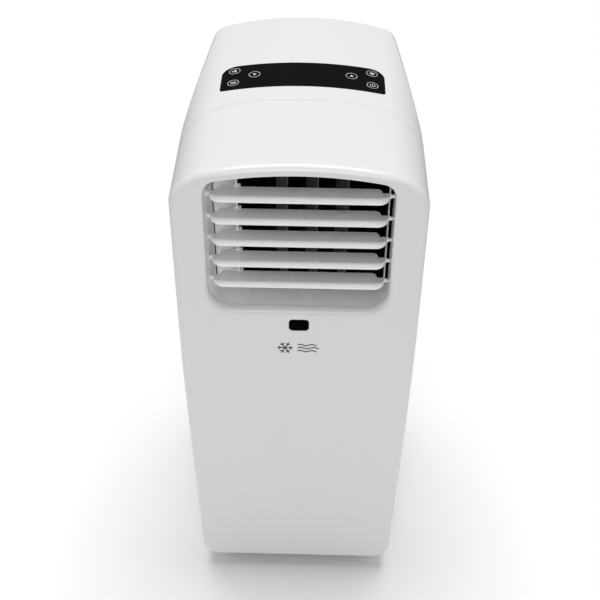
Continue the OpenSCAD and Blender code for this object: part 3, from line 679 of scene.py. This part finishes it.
# %% Control strip
KEYS = {}
for name in ("key_fan", "key_down", "key_swing", "key_mode", "key_up", "key_power"):
    low, high = (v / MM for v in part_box(name))
    KEYS[name] = ((low.x + high.x) / 2, (low.y + high.y) / 2)
KEY_R, KEY_GAP = 7.5, 0.3


def lay_on_crown(bm, lift):
    """Raises flat points, whose z is a depth, onto the full arch."""
    for v in bm.verts:
        v.co.z = v.co.z + (crown(v.co.x / MM, 0) + lift) * MM


STRIP_EDGE = ((0.95, 0), (0.6, -0.12), (0.35, -0.4), (0.25, -0.8), (0.25, -2.2))
strip = bmesh.new()
edges = add_bands(strip, [[(x, y, d) for x, y in strip_loop(g)] for g, d in STRIP_EDGE])
for spot in KEYS.values():
    ring = turn(spot, KEY_R + KEY_GAP, 0, -360, 40)[:-1]
    edges += add_bands(strip, [[(x, y, 0) for x, y in ring], [(x, y, -2.2) for x, y in ring]])
bmesh.ops.triangle_fill(strip, edges=edges, use_beauty=True, use_dissolve=False)
for x in range(-100, 101, 5):
    everything = strip.verts[:] + strip.edges[:] + strip.faces[:]
    bmesh.ops.bisect_plane(strip, geom=everything, plane_co=(x * MM, 0, 0), plane_no=(1, 0, 0))
face_out(strip)
if sum(f.normal.z for f in strip.faces if abs(f.normal.z) > 0.9) < 0:
    bmesh.ops.reverse_faces(strip, faces=strip.faces)
lay_on_crown(strip, 0)
control_strip = shade(to_object(strip, "control_strip", [strip_black]), 50)
place(control_strip, "cabinet", "control_overlay", "strip_black")
print("control strip:", len(control_strip.data.polygons), "faces")


# %% [markdown]
# A key is a round cap that fills its hole, with a thin white ring and a plain symbol printed
# on it. The print is a film of its own, a twentieth of a millimetre high, in a second finish.
# The symbols are lists of small outlines around the middle of the key.

# %% Key symbols
def ring_outlines(r, w, n=48, a=0, b=360):
    """A ring or part of one as quads."""
    outer, inner = turn((0, 0), r, a, b, n), turn((0, 0), r - w, a, b, n)
    return [[outer[i], outer[i + 1], inner[i + 1], inner[i]] for i in range(n)]


def stroke(p, q, w):
    """A straight line of width w."""
    d = (Vector(q) - Vector(p)).normalized() * w / 2
    side = Vector((-d.y, d.x))
    corners = (Vector(p) + side, Vector(q) + side, Vector(q) - side, Vector(p) - side)
    return [[tuple(c) for c in corners]]


def spun(shapes, times):
    """The shapes repeated round the middle."""
    found = []
    for k in range(times):
        a = 2 * math.pi * k / times
        c, s = math.cos(a), math.sin(a)
        found += [[(x * c - y * s, x * s + y * c) for x, y in shape] for shape in shapes]
    return found


def wedge(tip):
    """A solid triangle that points along y."""
    return [[(-2.6, -1.5 * tip), (0, 2.4 * tip), (2.6, -1.5 * tip)][::int(tip)]]


blade = [[(0.2, 0.2), (1.6, 1.4), (2.0, 3.0), (0.9, 3.7), (-0.4, 3.1), (-0.5, 1.4)]]
snow = stroke((0, 0), (0, 3.6), 0.6)
snow += stroke((0, 2.2), (1.1, 3.2), 0.5) + stroke((0, 2.2), (-1.1, 3.2), 0.5)
waves = [s for row in (-1.9, 0, 1.9) for i in range(6)
         for s in stroke((-3.6 + 1.2 * i, row + 0.5 * math.sin(1.9 * i)),
                         (-2.3 + 1.2 * i, row + 0.5 * math.sin(1.9 * (i + 1))), 0.75)]
power = ring_outlines(3.4, 0.75, 24, 125, 415) + stroke((0, 0.4), (0, 4.0), 0.8)
SYMBOLS = {"key_fan": spun(blade, 3), "key_down": wedge(-1), "key_swing": waves,
           "key_mode": spun(snow, 6), "key_up": wedge(1), "key_power": power}

# %% Keys
PRINT_H = 0.05
RING_R, RING_WIDTH = 7.2, 0.55
CAP_PROFILE = ((0.01, -0.1), (3.5, -0.1), (7.3, -0.1), (7.43, -0.14), (KEY_R, -0.26), (KEY_R, -5.0))


def make_key(name):
    cx, cy = KEYS[name]
    rings = [[(x, y, d) for x, y in turn((cx, cy), r, 0, 360, 40)[:-1]]
             for r, d in CAP_PROFILE]
    points, faces = loft(rings)
    bm = build(points, faces)
    face_out(bm)
    shapes = ring_outlines(RING_R, RING_WIDTH) + SYMBOLS[name]
    for shape in shapes:
        low = [bm.verts.new([(cx + x) * MM, (cy + y) * MM, -0.12 * MM]) for x, y in shape]
        high = [bm.verts.new([(cx + x) * MM, (cy + y) * MM, (PRINT_H - 0.1) * MM]) for x, y in shape]
        top = bm.faces.new(high)
        sides = [bm.faces.new((low[i], low[(i + 1) % len(low)], high[(i + 1) % len(low)], high[i]))
                 for i in range(len(low))]
        top.normal_update()
        if top.normal.z < 0:
            bmesh.ops.reverse_faces(bm, faces=[top] + sides)
        for f in [top] + sides:
            f.material_index = 1
    lay_on_crown(bm, 0)
    made = to_object(bm, name + "_cap", [strip_black, print_white], 40)
    return place(made, name, name, "strip_black")


for name in KEYS:
    make_key(name)
print("keys:", ", ".join(KEYS))

# %% [markdown]
# ## Infrared window
# A small polished lens that is pushed into the front shell from behind. Its face is a little
# domed, so it catches one clean highlight.

# %% Window
lens_rings = [[(x, FRONT_Y + d, z) for x, z in window_loop(g)]
              for g, d in ((0.0, 2.5), (0.0, 0.35), (-0.25, 0.0), (-0.8, -0.08), (-3.0, -0.14))]
lens_points, lens_faces = loft(lens_rings, caps=(False, True))
lens = build(lens_points, lens_faces)
face_out(lens)
window = to_object(lens, "ir_lens", [window_black], 50)
place(window, "cabinet", "ir_window", "window_black")


# %% [markdown]
# ## Slats
# Each slat is a thin wing with a thick round nose. In plan its front corners sweep back and its
# back corners are rounded off, which leaves a short block at each end for the pivot pin. The
# wing is lofted across the width from a section whose nose and tail draw in at the ends.

# %% Slat section
LOWEST_PIVOT, SLAT_PITCH, SLATS = 554.3, 31.3, 5
SLAT_Y, CORNER_X, CORNER_R = -165.0, 91.0, 13.0
NOSE_R, NOSE_Y, NOSE_Z = 4.8, -14.0, 2.4
TAIL_Y, TAIL_Z, TAIL_R = 12.0, 0.5, 0.8
TAIL_X, TAIL_END, NECK_Y = 90.0, 96.0, 3.5


def pivot_height(number):
    """Height of a slat's pivot; slat 1 is the highest."""
    return LOWEST_PIVOT + SLAT_PITCH * (SLATS - number)


def slat_section(x):
    """Points (y, z) around the slat at x, relative to its pivot."""
    over = max(0.0, abs(x) - CORNER_X)
    sweep = CORNER_R - math.sqrt(max(0.0, CORNER_R ** 2 - min(over, CORNER_R - 0.02) ** 2))
    slim = 1 - 0.38 * (over / CORNER_R) ** 2
    r = NOSE_R * slim
    past = min(1.0, max(0.0, abs(x) - TAIL_X) / (TAIL_END - TAIL_X))
    tail_y = NECK_Y + (TAIL_Y - NECK_Y) * math.sqrt(1 - past * past)
    nose_y = NOSE_Y + sweep * 0.92
    nose_z = NOSE_Z * slim + 0.2 * (1 - slim)
    found = turn((nose_y, nose_z), r, 98, 262, 14)
    found += turn((tail_y, TAIL_Z), TAIL_R, -80, 80, 5)
    return found


def slat_stations():
    angles = [math.radians(a) for a in steps(0, 90, 10)[1:]]
    outer = sorted([CORNER_X + CORNER_R * math.sin(a) - 0.03 for a in angles]
                   + [TAIL_X + (TAIL_END - TAIL_X) * math.sin(a) + 0.02 for a in angles])
    inner = steps(-TAIL_X, TAIL_X, 14)
    return [-x for x in reversed(outer)] + inner + outer


print("slat section:", len(slat_section(0)), "points at", len(slat_stations()), "stations")


# %% [markdown]
# The neck is a short rounded barrel turned about the pivot, and the crank lug near the left
# end is a small rounded plate with a peg that goes through the link. Spun profiles and small
# plates are used again below, so they get helpers.

# %% Turned parts and plates
def add_turned(bm, centre, axis, profile, n=24):
    """Spins (distance along, radius) about a line through centre along x, y or z."""
    rings = []
    for d, r in profile:
        ring = []
        for a in steps(0, 360, n)[:-1]:
            u, v = r * math.cos(math.radians(a)), r * math.sin(math.radians(a))
            offset = {"x": (d, u, v), "y": (u, d, v), "z": (u, v, d)}[axis]
            ring.append([c + o for c, o in zip(centre, offset)])
        rings.append(ring)
    made = [[bm.verts.new([c * MM for c in p]) for p in ring] for ring in rings]
    faces = [bm.faces.new(made[0][::-1]), bm.faces.new(made[-1])]
    for a, b in zip(made, made[1:]):
        faces += [bm.faces.new((a[i], a[(i + 1) % n], b[(i + 1) % n], b[i])) for i in range(n)]
    bmesh.ops.recalc_face_normals(bm, faces=faces)
    return faces


def add_plate(bm, loop, low, high, ease=0.3):
    """A plate in the y-z plane from x = low to high, with eased edges."""
    cy = sum(p[0] for p in loop) / len(loop)
    cz = sum(p[1] for p in loop) / len(loop)

    def shrunk(by):
        found = []
        for y, z in loop:
            away = Vector((y - cy, z - cz))
            k = max(0.0, away.length - by) / away.length
            found.append((cy + away.x * k, cz + away.y * k))
        return found
    rings = [[(x, y, z) for y, z in shrunk(by)]
             for x, by in ((low, ease), (low + ease, 0), (high - ease, 0), (high, ease))]
    made = [[bm.verts.new([c * MM for c in p]) for p in ring] for ring in rings]
    n = len(loop)
    faces = [bm.faces.new(made[0]), bm.faces.new(made[-1][::-1])]
    for a, b in zip(made, made[1:]):
        faces += [bm.faces.new((a[i], a[(i + 1) % n], b[(i + 1) % n], b[i])) for i in range(n)]
    bmesh.ops.recalc_face_normals(bm, faces=faces)
    return faces


# %% Slats
PEG_Y = -150.0
LUG_X, LINK_X = (-71.5, -68.5), (-75.0, -72.0)


def make_slat(number):
    name = f"slat_{number}"
    pivot = pivot_height(number)
    rings = [[(x, SLAT_Y + y, pivot + z) for y, z in slat_section(x)] for x in slat_stations()]
    points, faces = loft(rings, caps=(True, True))
    bm = build(points, faces, weld=0.005)
    face_out(bm)
    for side in (-1, 1):
        profile = [(98, 1.2), (99.5, 2.6), (101, 2.9), (106.6, 2.9), (107.0, 2.5), (107.05, 2.0),
                   (112.2, 2.0)]
        add_turned(bm, (0, SLAT_Y, pivot), "x", [(side * d, r) for d, r in profile][::side])
    lug = turn((PEG_Y, pivot), 3.2, 100, -100, 10)
    lug += [(SLAT_Y + 6, pivot - 0.3), (SLAT_Y + 6, pivot + 1.6)]
    add_plate(bm, lug, *LUG_X)
    add_turned(bm, (0, PEG_Y, pivot), "x", [(-77.5, 1.1), (-77.1, 1.5), (-70, 1.5)], 16)
    made = shade(to_object(bm, f"{name}_wing", [outlet_white]), 50)
    return place(made, name, name, "outlet_white")


for number in range(1, SLATS + 1):
    make_slat(number)
print("slats:", SLATS, "pitch", SLAT_PITCH, "mm")

# %% [markdown]
# ## Link
# One upright bar ties the five cranks together, so that they swing as one. It swells to a
# round eye at each peg.

# %% Link
link = bmesh.new()
LINK_TOP = 690.0
bar = rounded(PEG_Y, (LOWEST_PIVOT + LINK_TOP) / 2, 2.2, (LINK_TOP - LOWEST_PIVOT) / 2 + 1, 1.0, 3)
add_plate(link, bar, LINK_X[0] + 0.3, LINK_X[1] - 0.3, 0.25)
for number in range(1, SLATS + 1):
    eye = turn((PEG_Y, pivot_height(number)), 4.4, 0, -360, 24)[:-1]
    add_plate(link, eye, *LINK_X, 0.35)
louver_link = shade(to_object(link, "slat_link", [outlet_white]), 45)
place(louver_link, "louver_link", "louver_link", "outlet_white")

# %% [markdown]
# ## Outlet frame
# Behind the mouth sits a frame that holds the slat pivots. Its left wall slants inwards, then
# comes a narrow slit and a slanting cheek that steers the air. Its bottom runs further back as
# a sill. Behind the frame the duct is painted black as painted shade for its unlit inside, which is
# why the gaps between the slats look so deep. The frame and the duct are two finishes on one piece.

# %% Frame and duct
FRAME_Y = (-173.6, -150.0)
DUCT_END, SILL = -99.5, 26.0


def frame_ring(t, out_by, slant, sill=SILL):
    """The mouth at share t of the frame's depth; slant moves the left wall inwards."""
    found = []
    for (x, z), (nx, nz) in zip(mouth, mouth_normals):
        low = max(0.0, 1 - (z - OUTLET_Z) / 18)
        depth = FRAME_Y[1] - FRAME_Y[0] + sill * low * low * (3 - 2 * low)
        shift = slant * (abs(x) / OUTLET_HALF) ** 8 if x < 0 else 0
        found.append((x + nx * out_by + shift, FRAME_Y[0] + depth * t, z + nz * out_by))
    return found


liner = bmesh.new()
white_rings = [frame_ring(0, 2.2, 0), frame_ring(0, 0.0, 0)]
white_rings += [frame_ring(t, 0.0, 7.5 * t) for t in steps(0, 1, 5)[1:]]
white_rings.append(frame_ring(1, 1.6, 7.5))
add_bands(liner, white_rings)
back_share = (DUCT_END - FRAME_Y[0]) / (FRAME_Y[1] - FRAME_Y[0])
# the duct bands behind the frame carry the painted shade
painted_shade_rings = [frame_ring(1.01, 1.8, 0), frame_ring(1.01, 0.4, 0),
               frame_ring(back_share, 0.4, 0, 0), frame_ring(back_share, 2.0, 0, 0)]
before = set(liner.faces)
add_bands(liner, painted_shade_rings)
for f in liner.faces:
    f.material_index = 0 if f in before else 1


# %% Cheek, rib and vane rails
def mouth_top(x):
    return CROWN_Z + math.sqrt(MOUTH_R ** 2 - x * x)


def mouth_bottom(x):
    over = max(0.0, abs(x) - (OUTLET_HALF - MOUTH_FOOT))
    return OUTLET_Z + MOUTH_FOOT - math.sqrt(max(0.0, MOUTH_FOOT ** 2 - over ** 2))


def add_upright(bm, path, thick, material):
    """A thin upright wall along a path of (x, y) points, from the floor to the roof."""
    front_side, back_side = [], []
    for i, p in enumerate(path):
        before_p, after_p = path[max(0, i - 1)], path[min(len(path) - 1, i + 1)]
        d = (Vector(after_p) - Vector(before_p)).normalized()
        side = Vector((-d.y, d.x)) * thick / 2
        front_side.append(Vector(p) - side)
        back_side.append(Vector(p) + side)
    loop = front_side + back_side[::-1]
    lowest = [(v.x, v.y, mouth_bottom(v.x) - 0.5) for v in loop]
    highest = [(v.x, v.y, min(mouth_top(v.x), 714) + 0.5) for v in loop]
    points, faces = loft([lowest, highest], caps=(True, True))
    made = [bm.verts.new([c * MM for c in p]) for p in points]
    new = [bm.faces.new([made[i] for i in f]) for f in faces]
    bmesh.ops.recalc_face_normals(bm, faces=new)
    for f in new:
        f.material_index = material


cheek = [(-100.6, -140.0), (-100.8, -147.5), (-99.5, -148.6), (-90, -140.2), (-80, -131.0),
         (-77.5, -128.5), (-77.2, -100)]
add_upright(liner, cheek, 1.4, 0)
add_upright(liner, [(105.6, -151), (105.6, -140)], 1.1, 0)
vane_low, vane_high = (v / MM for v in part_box("vane_2"))
# the vane rails carry the duct's painted shade
for z0, z1 in ((vane_low.z + 4.2 - 9, vane_low.z + 4.2), (vane_high.z - 4.2, vane_high.z + 1)):
    rail = rounded(-122.0, (z0 + z1) / 2, 5, (z1 - z0) / 2, 1)
    for f in add_plate(liner, rail, -77, 110, 0.3):
        f.material_index = 1
frame_piece = to_object(liner, "outlet_frame", [outlet_white, duct_painted_shade], 40)
place(frame_piece, "cabinet", "louver_frame", "outlet_white")
print("outlet frame:", len(frame_piece.data.polygons), "faces")


# %% [markdown]
# ## The rest keeps its CAD shape
# Turned, stamped and moulded parts whose CAD shape is right keep it, and get their finish as the
# only material of their mesh.

# %% Dress the CAD nodes
def dress(material, *names):
    for name in names:
        mesh = nodes[name].data
        mesh.materials.clear()
        mesh.materials.append(material)
        for polygon in mesh.polygons:
            polygon.material_index = 0


dress(white, "upper_grille", "lower_grille", "handle_cups", "exhaust_collar")
dress(emblem_grey, "front_emblem")
# the vanes and their link get the painted shade of the duct
dress(vane_painted_shade, "vane_1", "vane_2", "vane_3", "vane_link")
# the blower parts get the duct's painted shade
dress(duct_painted_shade, "blower_scroll", "blower_wheel", "condenser_fan_wheel")
dress(pan_grey, "base_pan", "condenser_scroll", "exhaust_duct")
dress(board_green, "control_board")
dress(steel, "partition_deck", "support_posts", "electrical_box", "housing_screws", "swing_motor",
      "blower_motor", "condenser_fan_motor")
dress(fins, "evaporator_coil", "condenser_coil")
dress(enamel, "compressor")
dress(rubber, "compressor_grommets", "drain_cap_upper", "drain_cap_lower", "cord_gland")
dress(copper, "refrigerant_pipes")
dress(filter_grey, "upper_filter", "lower_filter")
for corner in ("front_left", "front_right", "rear_left", "rear_right"):
    dress(caster_grey, f"caster_{corner}")
    dress(wheel_black, f"wheels_{corner}")
print("CAD nodes kept:", len([n for n in nodes.values() if not n.hide_render]))

# %% [markdown]
# ## Floor and light
# The floor is a pale sweep. A wide soft box hangs high above and a little behind, so that the
# top is the brightest face and the front edge casts a soft shadow forwards. A weaker one in
# front lights the slats, and the world fills in evenly from all round.

# %% Floor
FLOOR_BACK, FLOOR_REACH = 0.282, 6
corners = [(-FLOOR_REACH, -FLOOR_REACH, 0), (FLOOR_REACH, -FLOOR_REACH, 0),
           (FLOOR_REACH, FLOOR_BACK, 0), (-FLOOR_REACH, FLOOR_BACK, 0)]
floor_mesh = bpy.data.meshes.new("floor")
floor_mesh.from_pydata(corners, [], [(0, 1, 2, 3)])
floor = bpy.data.objects.new("floor", floor_mesh)
scene.collection.objects.link(floor)
floor_mesh.materials.append(finish("pale_floor", (0.97, 0.97, 0.97), 0.01, (0.7, 0.8), 60, 0.01, blotch=3,
                                   specular=0.2))

# %% Light
world = bpy.data.worlds.new("studio")
scene.world = world
world.use_nodes = True
sky = world.node_tree.nodes["Background"]
sky.inputs["Color"].default_value = (1, 1, 1, 1)
ray = world.node_tree.nodes.new("ShaderNodeLightPath")
level_of = world.node_tree.nodes.new("ShaderNodeMapRange")
FILL = 0.32
level_of.inputs["To Min"].default_value = FILL
level_of.inputs["To Max"].default_value = 1.0
world.node_tree.links.new(ray.outputs["Is Camera Ray"], level_of.inputs["Value"])
world.node_tree.links.new(level_of.outputs["Result"], sky.inputs["Strength"])


def soft_box(name, place_at, look_at, size, watts):
    data = bpy.data.lights.new(name, "AREA")
    data.shape = "RECTANGLE"
    data.size, data.size_y = size
    data.energy = watts
    made = bpy.data.objects.new(name, data)
    scene.collection.objects.link(made)
    made.location = place_at
    made.rotation_euler = (Vector(look_at) - Vector(place_at)).to_track_quat("-Z", "Y").to_euler()
    return made


soft_box("top_box", (0, 1.2, 8.0), (0, 0.0, 0.4), (5.0, 3.5), 440)
soft_box("front_box", (0, -5.1, 3.9), (0, 0.0, 0.4), (2.5, 2.0), 75)
scene.view_settings.view_transform = "Standard"
scene.view_settings.look = "None"
